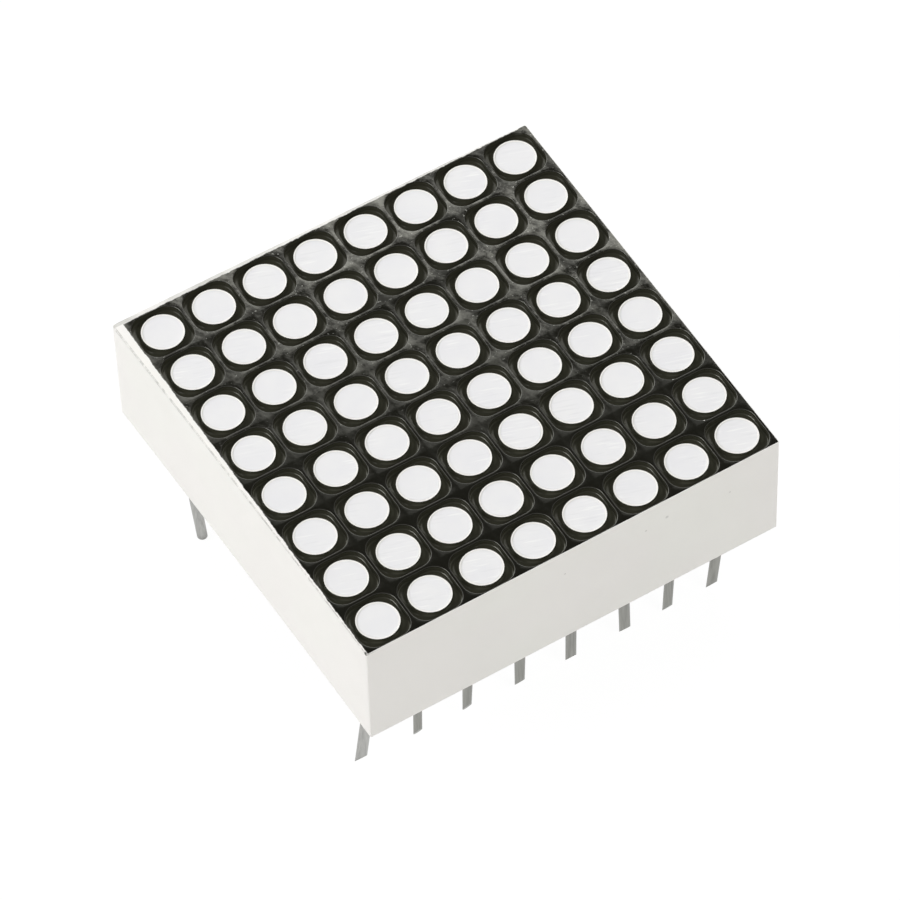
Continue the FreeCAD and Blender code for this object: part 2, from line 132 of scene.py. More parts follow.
def new_piece(name, points, faces, layers=None):
    """A smooth mesh from points in mm and quads. Layers holds one number per face under a name.
    Doubles are merged, so quads that end in one point become triangles."""
    mesh = bpy.data.meshes.new(name)
    mesh.from_pydata((np.asarray(points).reshape(-1, 3) * MM).tolist(), [], faces.tolist())
    for key, values in (layers or {}).items():
        mesh.attributes.new(key, "FLOAT", "FACE").data.foreach_set("value", np.ravel(values))
    work = bmesh.new()
    work.from_mesh(mesh)
    bmesh.ops.remove_doubles(work, verts=work.verts, dist=MERGE)
    bmesh.ops.dissolve_degenerate(work, edges=work.edges, dist=MERGE)
    open_edges = sum(not edge.is_manifold for edge in work.edges)
    volume = work.calc_volume(signed=True) / MM ** 3
    work.to_mesh(mesh)
    work.free()
    mesh.polygons.foreach_set("use_smooth", [True] * len(mesh.polygons))
    piece = bpy.data.objects.new(name, mesh)
    bpy.context.collection.objects.link(piece)
    triangles = sum(len(p.vertices) - 2 for p in mesh.polygons)
    print(f"{name}: {triangles} triangles, {open_edges} open edges, {volume:.1f} mm3")
    return piece


# %% [markdown]
# A cell of the face goes from a straight square border, over the lip of the moat, down its wall,
# across its floor and up the round barrel, then down the tapered well to the ceiling of the bay.
# Every row is written as a distance from the dot's middle in each direction, which is one formula
# for a circle, a square and a square with round corners alike.

# %% Loops round a dot
AROUND = 48
# The first direction lies on an axis, so that a cell mirrors its neighbours and their points meet.
ANGLES = np.arange(AROUND) * math.tau / AROUND
DIRECTION = np.stack([np.cos(ANGLES), np.sin(ANGLES)], axis=-1)


def square_reach(half):
    """Distance to a square's side: its half width over the larger of |cos| and |sin|."""
    return half / np.abs(DIRECTION).max(axis=-1)


def rounded_reach(half, corner):
    """Distance to a square with round corners. Where a side is met beyond its straight part, the
    reach t solves |t d - q| = corner, with d the direction and q the corner's centre."""
    along = np.abs(DIRECTION)
    side = square_reach(half)
    centre = half - corner
    toward = centre * along.sum(axis=-1)
    arc = toward + np.sqrt(np.maximum(toward ** 2 - 2 * centre ** 2 + corner ** 2, 0))
    return np.where(side * along.min(axis=-1) <= centre, side, arc)


def circle_reach(radius):
    """Distance to a circle: its radius in every direction."""
    return np.full(AROUND, radius)


def quarter(steps):
    """Angles of a quarter turn, from 0 to 90 degrees."""
    return np.linspace(0, math.pi / 2, steps + 1)


print("moat reach from", rounded_reach(MOAT_HALF, MOAT_CORNER).min().round(3), "to",
      rounded_reach(MOAT_HALF, MOAT_CORNER).max().round(3))

# %% [markdown]
# The case's outline is a rectangle with small round corners, and the border of the sixty-four
# cells has to follow it. A point of the cells' outer border is therefore pressed into the outline:
# held between its sides, and at a corner moved onto the arc. The borders between cells stay put.

# %% Fit the outer border to an outline


def on_outline(points, half, corner):
    """Presses points into a rectangle with round corners: clamped to its sides, and beyond a
    corner's centre put at the corner's radius from it."""
    side = np.sign(points)
    clamped = np.minimum(np.abs(points), half)
    centre = half - corner
    past = clamped - centre
    far = np.linalg.norm(past, axis=-1, keepdims=True)
    on_arc = centre + past * (corner / np.maximum(far, TINY))
    return side * np.where((past > 0).all(axis=-1, keepdims=True), on_arc, clamped)


def crowd_to_corners(points, full):
    """Draws border points towards the case's corners, so that the small arcs get enough of them:
    within the last cell, distance t from the corner becomes t squared over the pitch."""
    gap = full - np.abs(points)
    near = (gap < PITCH) & (np.roll(gap, 1, axis=-1) < TINY)
    return np.where(near, np.sign(points) * (full - gap ** 2 / PITCH), points)


FULL = DOTS * CELL_HALF
FIRST = -(DOTS - 1) * CELL_HALF
LINE = FIRST + PITCH * np.arange(DOTS)
CENTRES = np.stack(np.meshgrid(LINE, LINE, indexing="xy"), axis=-1).reshape(-1, 2)
SQUARES = CENTRES[:, None] + DIRECTION * square_reach(CELL_HALF)[:, None]
IS_OUTER = (np.abs(SQUARES) > FULL - TINY).any(axis=-1, keepdims=True)
BORDERS = np.where(IS_OUTER, crowd_to_corners(SQUARES, FULL), SQUARES)
print("cells", len(CENTRES), "points on the outer border", int(IS_OUTER.sum()))


def fitted_border(half, corner):
    """The cells' square borders, with the outer ones laid on an outline."""
    scaled = BORDERS * half / FULL
    return np.where(IS_OUTER, on_outline(scaled, half, corner), BORDERS)

# %% [markdown]
# The lip is where fine pale lines run along the moats: a rounded edge shines where the flat web
# beside it stays dark. So its rounding is real geometry, five steps of a small quarter circle, and
# not a bump in the finish, which would shine the same but keep a sharp outline. The foot of the
# moat gets a small fillet too, as a moulding tool leaves one.

# %% Rows of a cell
WEB, LIP, WALL, FLOOR, SIDE, TOP, WELL, UNDER = range(8)
# Steps in a rounding: the moat's lip and foot are seen closely, the other edges less so.
MOAT_STEPS = 5
EDGE_STEPS = 3


def cell_rows():
    """(reach, height, kind) of each row, from the moat's lip down and in to the well's foot."""
    rows = [(rounded_reach(MOAT_HALF + MOAT_LIP, MOAT_CORNER + MOAT_LIP), FACE, WEB)]
    for turn in quarter(MOAT_STEPS)[1:]:
        out = MOAT_LIP * (1 - math.sin(turn))
        drop = MOAT_LIP * (1 - math.cos(turn))
        rows.append((rounded_reach(MOAT_HALF + out, MOAT_CORNER + out), FACE - drop, LIP))
    for turn in quarter(MOAT_STEPS):
        inward = MOAT_FILLET * (1 - math.cos(turn))
        height = MOAT_FLOOR + MOAT_FILLET * (1 - math.sin(turn))
        rows.append((rounded_reach(MOAT_HALF - inward, MOAT_CORNER - inward), height, WALL))
    rows.append((circle_reach(BARREL), MOAT_FLOOR, FLOOR))
    for turn in quarter(EDGE_STEPS):
        inward = BARREL_ROUND * (1 - math.cos(turn))
        height = DOT_TOP - BARREL_ROUND * (1 - math.sin(turn))
        rows.append((circle_reach(BARREL - inward), height, SIDE))
    rows.append((circle_reach(WELL_MOUTH), DOT_TOP, TOP))
    rows.append((circle_reach(WELL_MOUTH), DOT_TOP - BARREL_ROUND, WELL))
    rows.append((circle_reach(WELL_FOOT), CEILING, WELL))
    return rows


ROWS = cell_rows()
print("rows in a cell:", len(ROWS) + 2)

# %% [markdown]
# The case isn't quite square. Its left wall leans out towards the back, and its back wall towards
# the left, so that a narrow strip of bare plastic shows beside the black coat there. The lean is one
# smooth formula on the finished points of the outer walls, which keeps every row and seam in place.

# %% Let the walls lean out
LEAN_LEFT = 0.44
LEAN_BACK = 0.21
LEAN_POWER = 1.5
BACK_POWER = 0.6
# The lean at the rim, as a share of the lean at the face.
RIM_SHARE = 0.9
# The push grows over this zone, which ends a little outside the wall.
WALL_ZONE = 0.3
ZONE_END = 0.05


def leaning(points):
    """Moves points of the outer walls: the push grows from one end of a wall to the other, and from
    the rim up. A weight over the last stretch before a wall leaves the bay and the cells alone."""
    x, y, z = np.moveaxis(points, -1, 0)
    back = (1 + y / CASE_HALF[1]) / 2
    left = (1 - x / CASE_HALF[0]) / 2
    high = RIM_SHARE + (1 - RIM_SHARE) * (z - RIM) / (FACE - RIM)
    at_left = np.clip((WALL_ZONE - ZONE_END - x - CASE_HALF[0]) / WALL_ZONE, 0, 1)
    at_back = np.clip((WALL_ZONE - ZONE_END + y - CASE_HALF[1]) / WALL_ZONE, 0, 1)
    push_left = LEAN_LEFT * np.clip(back, 0, 1) ** LEAN_POWER * high * at_left
    push_back = LEAN_BACK * np.clip(left, 0, 1) ** BACK_POWER * high * at_back
    return np.stack([x - push_left, y + push_back, z], axis=-1)


print("back left corner at", leaning(np.array([-CASE_HALF[0], CASE_HALF[1], FACE]))[:2].round(3))

# %% [markdown]
# Now the cells are put together as one array of cell, row, angle and coordinate. Their first row
# is the border on the face, and the last the border on the bay's ceiling, so the plate is closed
# above and below. The walls follow as a skirt: rows that all run along the same outer border.

# %% The housing's plate and skirt
WALL_ROWS = 8
# A row this many roundings from an edge keeps the flat beside it level in smooth shading.
FLAT_FROM = 3
# Rows of the skirt, from the face down, that hold dust.
DUSTY_ROWS = 4


def lifted(flat, height):
    """Plane points with a height added as the third coordinate."""
    return np.concatenate([flat, np.full(flat.shape[:-1] + (1,), height)], axis=-1)


def plate_points():
    """Cells by rows by angles by coordinates."""
    top = leaning(lifted(fitted_border(CASE_HALF - EDGE_ROUND, CASE_CORNER - EDGE_ROUND), FACE))
    inner = [lifted(CENTRES[:, None] + DIRECTION * reach[:, None], height) for reach, height, _ in ROWS]
    ceiling = lifted(fitted_border(BAY_HALF, BAY_CORNER), CEILING)
    return np.stack([top, *inner, ceiling], axis=1)


def border_loop():
    """The outer border's points once each, sorted round the case by their angle."""
    points = BORDERS[IS_OUTER[..., 0]]
    turn = np.arctan2(points[:, 1], points[:, 0])
    order = np.argsort(turn)
    keep = np.diff(turn[order], append=turn[order][0] + math.tau) > TINY
    return points[order][keep]


def skirt_points():
    """Rows round the case: over the top edge, down the wall, round the rim and up into the bay."""
    loop = border_loop()

    def row(half, corner, height):
        """The loop moved onto an outline, at a height."""
        return lifted(on_outline(loop * half / FULL, half, corner), height)

    rows = []
    for turn in quarter(EDGE_STEPS):
        inset = EDGE_ROUND * (1 - math.sin(turn))
        height = FACE - EDGE_ROUND * (1 - math.cos(turn))
        rows.append(row(CASE_HALF - inset, CASE_CORNER - inset, height))
    for height in np.linspace(FACE - FLAT_FROM * EDGE_ROUND, RIM + FLAT_FROM * RIM_ROUND, WALL_ROWS):
        rows.append(row(CASE_HALF, CASE_CORNER, height))
    for turn in quarter(EDGE_STEPS):
        inset = RIM_ROUND * (1 - math.cos(turn))
        height = RIM + RIM_ROUND * (1 - math.sin(turn))
        rows.append(row(CASE_HALF - inset, CASE_CORNER - inset, height))
    for turn in quarter(EDGE_STEPS):
        inset = RIM_ROUND * (1 - math.sin(turn))
        height = RIM + RIM_ROUND * (1 - math.cos(turn))
        rows.append(row(BAY_HALF + inset, BAY_CORNER + inset, height))
    rows.append(row(BAY_HALF, BAY_CORNER, RIM + FLAT_FROM * RIM_ROUND))
    rows.append(row(BAY_HALF, BAY_CORNER, CEILING))
    return leaning(np.stack(rows))


plate = plate_points()
skirt = skirt_points()
cell_faces = loop_faces(plate.shape[1], AROUND)
skirt_faces = loop_faces(len(skirt), skirt.shape[1])
plate_faces = repeated(cell_faces, plate.shape[1] * AROUND, len(CENTRES))
cell_kinds = np.repeat([kind for _, _, kind in ROWS] + [UNDER], AROUND)
coated = np.isin(cell_kinds, (WEB, LIP, WALL, FLOOR, SIDE))
coat_layer = np.concatenate([np.tile(coated, len(CENTRES)), np.zeros(len(skirt_faces))])
on_top_edge = np.arange(len(skirt_faces)) < DUSTY_ROWS * skirt.shape[1]
edge_layer = np.concatenate([np.zeros(len(plate_faces)), on_top_edge])
housing = new_piece("reflector_shell", np.concatenate([plate.reshape(-1, 3), skirt.reshape(-1, 3)]),
                    np.concatenate([plate_faces, skirt_faces[:, ::-1] + plate[..., 0].size]),
                    {"coat": coat_layer, "top_edge": edge_layer})
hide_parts("reflector_housing")

# %% [markdown]
# Each dot is a plug of milky resin that fills its well. It was poured, so its top isn't quite
# flat: it climbs a little at the wall, and each one stands a hair higher or lower. A profile
# turned round the dot's middle gives all of them at once. Below its well a plug runs straight down
# to the board, where the real ones join in one thin layer that nobody sees.

# %% Resin plugs
SEED = 11
CREEP = 0.012
CREEP_WIDTH = 0.06
# The wall's first row lies this far below the top, where the climb no longer bends the shading.
SHOULDER = 3 * CREEP
# Radii of the rings on a plug's top, closer together where the resin climbs.
TOP_RINGS = (0, 0.25, 0.5, 0.7, 0.76, 0.8, 0.825, 0.84, WELL_MOUTH)
# How far below or above its place a top stands, and how far its edge tilts.
LOWEST, HIGHEST = -0.008, 0.004
TILT = 0.004
PLUG_AROUND = 48
rng = np.random.default_rng(SEED)


def plug_profile():
    """Radius and height from the middle of the top, out to the wall, down to the foot and in. At a
    distance d from the wall the top climbs by CREEP times e to the power of -d / CREEP_WIDTH."""
    radius = np.array(TOP_RINGS)
    climb = CREEP * np.exp((radius - WELL_MOUTH) / CREEP_WIDTH)
    top = DOT_TOP - CREEP + climb
    wall_radius = np.array([WELL_MOUTH, WELL_FOOT])
    wall_height = np.array([DOT_TOP - SHOULDER, CEILING])
    foot_radius = np.array([WELL_FOOT, 0])
    foot_height = np.array([BOARD_TOP, BOARD_TOP])
    return (np.concatenate([radius, wall_radius, foot_radius]),
            np.concatenate([top, wall_height, foot_height]))


def turned(radius, height, around):
    """A profile turned about Z: rows by angles by coordinates."""
    angle = np.arange(around) * math.tau / around
    ring = np.stack([np.cos(angle), np.sin(angle)], axis=-1)
    flat = radius[:, None, None] * ring
    tall = np.broadcast_to(height[:, None, None], (len(radius), around, 1))
    return np.concatenate([flat, tall], axis=-1)


def plug_points():
    """Plugs by rows by angles by coordinates. Each top is lifted by one random height and tilted by
    one random slope, which grows with the distance from its middle."""
    radius, height = plug_profile()
    one = turned(radius, height, PLUG_AROUND)
    plugs = np.repeat(one[None], len(CENTRES), axis=0)
    plugs[..., :2] += CENTRES[:, None, None]
    level = rng.uniform(LOWEST, HIGHEST, (len(CENTRES), 1))
    lean = rng.uniform(-TILT, TILT, (len(CENTRES), 2))
    is_top = np.arange(len(radius)) < len(TOP_RINGS)
    outermost = one[len(TOP_RINGS) - 1, :, :2]
    tilt = np.einsum("cd,ad->ca", lean, outermost)[:, None] * (radius / WELL_MOUTH)[None, :, None]
    plugs[..., 2] += np.where(is_top[None, :, None], level[..., None] + tilt, 0)
    return plugs


plugs = plug_points()
one_plug = loop_faces(plugs.shape[1], PLUG_AROUND)
plug_faces = repeated(one_plug, plugs.shape[1] * PLUG_AROUND, len(CENTRES))
resin = new_piece("resin_dots", plugs, plug_faces[:, ::-1])
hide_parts("resin_fill")

# %% [markdown]
# The pins are soft wire that was cut by hand, so no two are alike: four are bent, most stand a
# little to one side, and some were squeezed thinner. Each is a stack of rings along a centre line,
# drawn by a formula for straight wire, a small arc and straight wire again. The front pins end in a
# slanting snip: the last rings lie on a slope instead of level. Cylinders cut with a boolean would
# give the same outline, but no even rings to carry the squeeze.

# %% Wire pins
PER_ROW = 8
PIN_PITCH = 2.54
ROW_Y = 7.62
WIRE = 0.25
# Height of the snip's slope, clear wire above it, and the rings of its face as shares of the wire.
SNIP_RISE = 0.8
SNIP_CLEAR = 0.1
SNIP_SHARES = (1.0, 0.94, 0.0)
BLUNT = 0.12
BEND = 1.0
PIN_AROUND = 24
PIN_RINGS = 16
# Lean in degrees and where the bend starts, in mm below the rim.
LEANS = {1: (7.0, 2.6), 7: (2.5, 0.2), 8: (6.0, 0.4), 16: (9.4, -0.5)}
# Shift of the tip along X, added length, then thickness at the rim and at the tip as shares.
BY_HAND = {1: (-0.07, -0.42, 1.0, 0.98), 2: (-0.11, -0.2, 0.78, 0.76), 3: (-0.21, -0.13, 1.12, 0.73),
           4: (-0.1, 0.07, 1.14, 0.84), 5: (-0.06, 0.22, 0.95, 0.94), 6: (0.14, 0.2, 1.0, 0.98),
           7: (0.0, 0.25, 0.86, 0.84), 8: (0.04, 0.25, 0.98, 0.88), 16: (0.1, 0.25, 1.0, 0.94)}


def bent_by(height, lean, depth):
    """How far the centre line has moved at a height: an arc of radius BEND, then its tangent."""
    angle = math.radians(lean)
    drop = np.maximum(RIM - depth - height, 0)
    arc = BEND - np.sqrt(np.maximum(BEND ** 2 - np.minimum(drop, BEND) ** 2, 0))
    tangent = BEND * (1 - math.cos(angle)) + (drop - BEND * math.sin(angle)) * math.tan(angle)
    return np.where(drop < BEND * math.sin(angle), arc, tangent)


def pin_points(number):
    """Rings of one pin from the middle of its top, down its side and in to the middle of its tip.
    Its shift to one side and its thickness change evenly from the rim down."""
    front = number <= PER_ROW
    column = number - 1 if front else 2 * PER_ROW - number
    shift, extra, at_rim, at_tip = BY_HAND.get(number, (0.0, 0.0, 1.0, 1.0))
    angle = np.arange(PIN_AROUND) * math.tau / PIN_AROUND
    level = np.ones(PIN_AROUND)
    tip = -extra
    down = np.linspace(BOARD_TOP, tip + SNIP_RISE + SNIP_CLEAR, PIN_RINGS)
    sides = [(height * level, 1.0) for height in down]
    if front:
        ends = [(tip + SNIP_RISE * (1 - share * np.sin(angle)) / 2, share) for share in SNIP_SHARES]
    else:
        ends = [((tip + BLUNT) * level, 1.0), (tip * level, 1 - BLUNT / WIRE), (tip * level, 0.0)]
    rings = [(BOARD_TOP * level, 0.0), *sides, *ends]
    height = np.stack([heights for heights, _ in rings])
    share = np.array([share for _, share in rings])[:, None]
    radius = WIRE * share * (at_tip + (at_rim - at_tip) * np.clip(height / RIM, 0, 1))
    bend = bent_by(height, *LEANS.get(number, (0.0, 0.0)))
    sideways = shift * np.clip(1 - height / RIM, 0, 1) - (bend if front else 0)
    x = (column - (PER_ROW - 1) / 2) * PIN_PITCH + sideways + radius * np.cos(angle)
    y = (-ROW_Y if front else ROW_Y - bend) + radius * np.sin(angle)
    return np.stack([x, y, height], axis=-1)


pins = {}
for number in range(1, 2 * PER_ROW + 1):
    rings = pin_points(number)
    pins[number] = new_piece(f"wire_pin_{number}", rings, loop_faces(len(rings), PIN_AROUND)[:, ::-1])
    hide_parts(f"pin_{number}")

# %% [markdown]
# Solder wets both the copper and the wire, so a joint is a hollow-sided cone, wide on the board and
# drawn out thin along the pin. One profile is turned round each pin of a row.

# %% Solder joints
SOLDER_RADIUS = 0.6
SOLDER_HEIGHT = 0.6
SOLDER_SKIN = 0.03
# A higher power draws the cone's side in more steeply beside the board.
HOLLOW = 2.4
JOINT_RINGS = 9


def joint_points(row_y):
    """Rings from the board's underside, down the hollow side, and back up inside the wire's skin.
    The radius shrinks with the HOLLOW power of what is left of the way down."""
    down = np.linspace(0, 1, JOINT_RINGS)
    outer, inner = WIRE + SOLDER_SKIN, WIRE - SOLDER_SKIN
    side = outer + (SOLDER_RADIUS - WIRE - SOLDER_SKIN) * (1 - down) ** HOLLOW
    radius = np.concatenate([[inner], side, [inner], [inner]])
    height = UNDERSIDE - SOLDER_HEIGHT * np.concatenate([[0], down, [1], [0]])
    one = turned(radius, height, PIN_AROUND)
    row = np.repeat(one[None], PER_ROW, axis=0)
    row[..., 0] += ((np.arange(PER_ROW) - (PER_ROW - 1) / 2) * PIN_PITCH)[:, None, None]
    row[..., 1] += row_y
    return row


joints = {}
for label, row_y in (("front", -ROW_Y), ("back", ROW_Y)):
    rings = joint_points(row_y)
    faces = repeated(loop_faces(rings.shape[1], PIN_AROUND), rings.shape[1] * PIN_AROUND, PER_ROW)
    joints[label] = new_piece(f"joints_{label}", rings, faces[:, ::-1])
    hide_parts(f"solder_joints_{label}")

# %% [markdown]
# Materials are node trees. A few helpers keep them short: one makes a material and hands back its
# main shader, one adds a node and fills or joins its sockets, and the others name what a node or
# two of them do.

# %% Material helpers
# A noise gathers round a half. These limits cut its spread, from a hard edge to a soft one.
NARROW = (0.4, 0.6)
MIDDLE = (0.35, 0.65)
WIDE = (0.3, 0.7)


def new_material(name):
    """A material with one Principled shader, and its node tree."""
    material = bpy.data.materials.new(name)
    material.use_nodes = True
    tree = material.node_tree
    return material, tree, tree.nodes["Principled BSDF"]


def add(tree, kind, inputs=None, **settings):
    """Adds a node. Settings are its own properties, and inputs are socket values or sockets."""
    made = tree.nodes.new(kind)
    for key, value in settings.items():
        setattr(made, key, value)
    for key, value in (inputs or {}).items():
        if isinstance(value, bpy.types.NodeSocket):
            tree.links.new(value, made.inputs[key])
        else:
            made.inputs[key].default_value = value
    return made


def place(tree):
    """Object coordinates, which stay on the surface."""
    return add(tree, "ShaderNodeTexCoord").outputs["Object"]


def noise(tree, where, scale, detail=3.0, roughness=0.5):
    """Soft noise from 0 to 1. Scale counts features per metre."""
    made = add(tree, "ShaderNodeTexNoise", {"Vector": where, "Scale": scale, "Detail": detail,
                                            "Roughness": roughness})
    return made.outputs["Fac"]


def stretched(tree, where, lengths, turn=0.0):
    """The place, turned about Z, then divided by a length along each axis. A pattern read there
    runs long in the direction that the turn gives."""
    made = add(tree, "ShaderNodeMapping", {"Vector": where, "Scale": lengths, "Rotation": (0, 0, turn)},
               vector_type="TEXTURE")
    return made.outputs["Vector"]


def ramp(tree, value, low, high, to_low=0.0, to_high=1.0):
    """Takes a value between two limits to two others, and holds it there outside them."""
    made = add(tree, "ShaderNodeMapRange", {"Value": value, "From Min": low, "From Max": high,
                                            "To Min": to_low, "To Max": to_high})
    return made.outputs["Result"]


def maths(tree, operation, *values):
    """One sum, product or the like of numbers or sockets."""
    made = add(tree, "ShaderNodeMath", {i: v for i, v in enumerate(values)}, operation=operation)
    return made.outputs[0]


def mixed(tree, factor, first, second):
    """Colour between two colours or colour sockets."""
    made = add(tree, "ShaderNodeMix", data_type="RGBA")
    for socket, value in zip((made.inputs[0], made.inputs[6], made.inputs[7]), (factor, first, second)):
        if isinstance(value, bpy.types.NodeSocket):
            tree.links.new(value, socket)
        elif socket == made.inputs[0]:
            socket.default_value = value
        else:
            socket.default_value = (*value, 1)
    return made.outputs[2]


def bump(tree, shader, height, distance):
    """Tilts the shader's normal as if the surface rose by a height from 0 to 1 times a distance."""
    made = add(tree, "ShaderNodeBump", {"Height": height, "Distance": distance, "Strength": 1.0})
    tree.links.new(made.outputs["Normal"], shader.inputs["Normal"])


def split(tree, where):
    """The X, Y and Z of a place."""
    made = add(tree, "ShaderNodeSeparateXYZ", {"Vector": where})
    return made.outputs


def spot(tree, where, centre, radius):
    """1 within a radius in mm of a point, falling to 0 over the same distance outside it."""
    centre = tuple(c * MM for c in centre)
    far = add(tree, "ShaderNodeVectorMath", {0: where, 1: centre}, operation="DISTANCE")
    return ramp(tree, far.outputs["Value"], radius * MM, 2 * radius * MM, 1.0, 0.0)


# %% [markdown]
# The housing is moulded in white plastic, and its face and moats have a black coat. Both finishes
# are on one piece, so one material holds two shaders. The faces of the coated rows carry a number,
# and where the walls lean out past the coat, its edge is a line on the surface broken up by noise.

# %% White plastic
WHITE = (0.89, 0.88, 0.842)
PINKER = (0.893, 0.872, 0.845)
CLOUD_GREY = (0.76, 0.75, 0.72)
SPECK_BROWN = (0.3, 0.29, 0.27)
DUST_GREY = (0.3, 0.3, 0.28)
GRIME = (0.5, 0.495, 0.46)
# How much of a colour lies over the white at most. Crumbs and grime have a least and a most.
CLOUD_SHARE, SPECK_SHARE, DUST_SHARE = 0.12, 0.35, 0.6
CRUMB_SHARES = (0.15, 1.0)
GRIME_SHARES = (0.15, 0.7)
# Noises: features per metre, levels of detail, roughness.
CLOUDS = (260, 2)
TINTS = (170, 2)
CRUMBS = (3200, 5, 0.8)
GRIME_PATCHES = (700, 3)
DULLNESS = (900,)
WHITE_ROUGH = (0.38, 0.5)
GRAIN = (2500, 4)
GRAIN_DEPTH = 0.01 * MM
# Dust lies on the top edge beyond these X. Grime lies on the back wall between these depths below
# the face, and sets in over the last stretch of Y. All are in mm.
DUST_STARTS, DUST_FULL = -9.4, -9.9
GRIME_LOW, GRIME_HIGH = 0.12, 0.04
GRIME_ZONE = 0.04
# Small dark specks on the front wall: place in mm and radius.
WALL_SPECKS = [((4.5, -10.0, 10.88), 0.05), ((3.47, -10.0, 10.66), 0.035),
               ((-0.5, -10.0, 10.58), 0.03), ((7.62, -10.0, 10.33), 0.03)]


def specked_white(tree, where):
    """White with faint clouds of tone and the wall's dark specks."""
    clouds = ramp(tree, noise(tree, where, *CLOUDS), *MIDDLE)
    tinted = mixed(tree, ramp(tree, noise(tree, where, *TINTS), *NARROW), WHITE, PINKER)
    tone = mixed(tree, maths(tree, "MULTIPLY", clouds, CLOUD_SHARE), tinted, CLOUD_GREY)
    specks = 0.0
    for centre, radius in WALL_SPECKS:
        specks = maths(tree, "MAXIMUM", specks, spot(tree, where, centre, radius))
    return mixed(tree, maths(tree, "MULTIPLY", specks, SPECK_SHARE), tone, SPECK_BROWN)


def dusted_white(tree, where):
    """Specked white with crumbs of dust on the left top edge and grime along the back wall's top."""
    axes = split(tree, where)
    edge = add(tree, "ShaderNodeAttribute", attribute_name="top_edge").outputs["Fac"]
    crumbs = ramp(tree, noise(tree, where, *CRUMBS), *NARROW, *CRUMB_SHARES)
    at_left = ramp(tree, axes["X"], DUST_STARTS * MM, DUST_FULL * MM)
    dust = maths(tree, "MULTIPLY", maths(tree, "MULTIPLY", edge, crumbs), at_left)
    dusty = mixed(tree, maths(tree, "MULTIPLY", dust, DUST_SHARE), specked_white(tree, where), DUST_GREY)
    at_back = ramp(tree, axes["Y"], (CASE_HALF[1] - GRIME_ZONE) * MM, CASE_HALF[1] * MM)
    at_top = ramp(tree, axes["Z"], (FACE - GRIME_LOW) * MM, (FACE - GRIME_HIGH) * MM)
    patches = ramp(tree, noise(tree, where, *GRIME_PATCHES), *MIDDLE, *GRIME_SHARES)
    grime = maths(tree, "MULTIPLY", maths(tree, "MULTIPLY", at_back, at_top), patches)
    return mixed(tree, grime, dusty, GRIME)


def white_shader(tree, where, shader):
    """Moulded white: the dusted colour, an uneven dullness and a fine grain."""
    tree.links.new(dusted_white(tree, where), shader.inputs["Base Color"])
    dull = ramp(tree, noise(tree, where, *DULLNESS), *WIDE, *WHITE_ROUGH)
    tree.links.new(dull, shader.inputs["Roughness"])
    shader.inputs["Specular IOR Level"].default_value = 0.4
    bump(tree, shader, noise(tree, where, *GRAIN), GRAIN_DEPTH)


# %% [markdown]
# The coat is glossy and rather thin. On the webs it holds smears of dust and grit; their grey is
# painted stronger towards the far side, as a painted sheen for the light that the far webs mirror,
# while the near webs mirror little. The moats are painted a lighter grey as painted light, and their
# floors are duller than their walls. At the far corner the coat is worn; two small white spots on the
# coat are painted glints. All this is a change of colour and gloss, so it needs no mesh. Webs, moats
# and floors are told apart by their height.

# %% Black coat
BLACK = (0.0095, 0.0093, 0.0068)
# Grey of dust and wear; on the far webs it is also painted sheen, the grey that they mirror.
DUST_WEAR_AND_SHEEN = (0.107, 0.106, 0.092)
# A lighter tone painted in the moats as painted light, so that they read less than black.
PAINTED_MOAT_LIGHT = (0.044, 0.0435, 0.03)
GRIT = (0.34, 0.34, 0.31)
GLOSS_TINT = (1.0, 0.99, 0.89)
GRIT_SHARE = 0.8
NICK_AND_GLINT_SHARE = 0.8
# Noises: features per metre, levels of detail, roughness. Each edge says where a noise starts to
# show and where it shows in full.
SMEARS = (950, 8, 0.76)
SMEAR_LENGTHS = (1.0, 2.0, 1.0)
SMEAR_TURN = 0.6
SMEAR_EDGE = (0.46, 0.6)
SMEAR_GLOSS_EDGE = (0.4, 0.58)
SMEAR_ROUGH_EDGE = (0.35, 0.7)
GRAINS = (8000, 2)
GRAINS_EDGE = (0.66, 0.72)
WEAR = (3000, 3)
WEAR_EDGE = (0.4, 0.55)
RIPPLE = (1500, 4, 0.6)
RIPPLE_DEPTH = 0.008 * MM
# The dust on the webs, with its painted sheen, sets in with Y plus a share of X, and not before a
# certain Y, all in mm.
DUST_AND_SHEEN_SLANT = 0.5
SLANT_STARTS, SLANT_FULL = -5.0, 8.0
FAR_STARTS, FAR_FULL = -5.5, -2.5
# A web lies this share of the lip below the face or less, for its dust with painted sheen and for
# its gloss.
WEB_DUST_AND_SHEEN, WEB_GLOSS = 0.5, 0.1
FLOOR_ZONE = 0.01
# Specular levels, and roughness from clean to smeared.
NEAR_SHINE = 0.12
SMEAR_SHINES = (0.15, 0.8)
MOAT_SHINES = (1.0, 0.3)
FLOOR_SHINE = 0.25
COAT_ROUGH = (0.1, 0.2)
# Places in mm and radii.
WORN_CORNER = ((9.95, 9.95, 12.1), 0.3)
DROP = ((-10.05, -9.9, 12.05), 0.055)
# The first is a nick in the coat. The two small ones are painted glints: white spots of painted highlight.
NICKS_AND_GLINTS = [((9.53, 9.4, 12.1), 0.07), ((8.06, -4.88, 12.1), 0.025), ((8.01, -7.37, 12.1), 0.025)]


# The far webs' dust grey is painted stronger than the near, as painted sheen for the light they mirror.
def dust_and_sheen_reach(tree, axes):
    """0 on the near webs, growing to 1 towards the far side."""
    slanted = maths(tree, "ADD", maths(tree, "MULTIPLY", axes["X"], DUST_AND_SHEEN_SLANT), axes["Y"])
    return maths(tree, "MULTIPLY", ramp(tree, slanted, SLANT_STARTS * MM, SLANT_FULL * MM),
                 ramp(tree, axes["Y"], FAR_STARTS * MM, FAR_FULL * MM))


def below_face(tree, axes, low, high=0.0):
    """From 0 to 1 between two depths below the face, in mm."""
    return ramp(tree, axes["Z"], (FACE - low) * MM, (FACE - high) * MM)


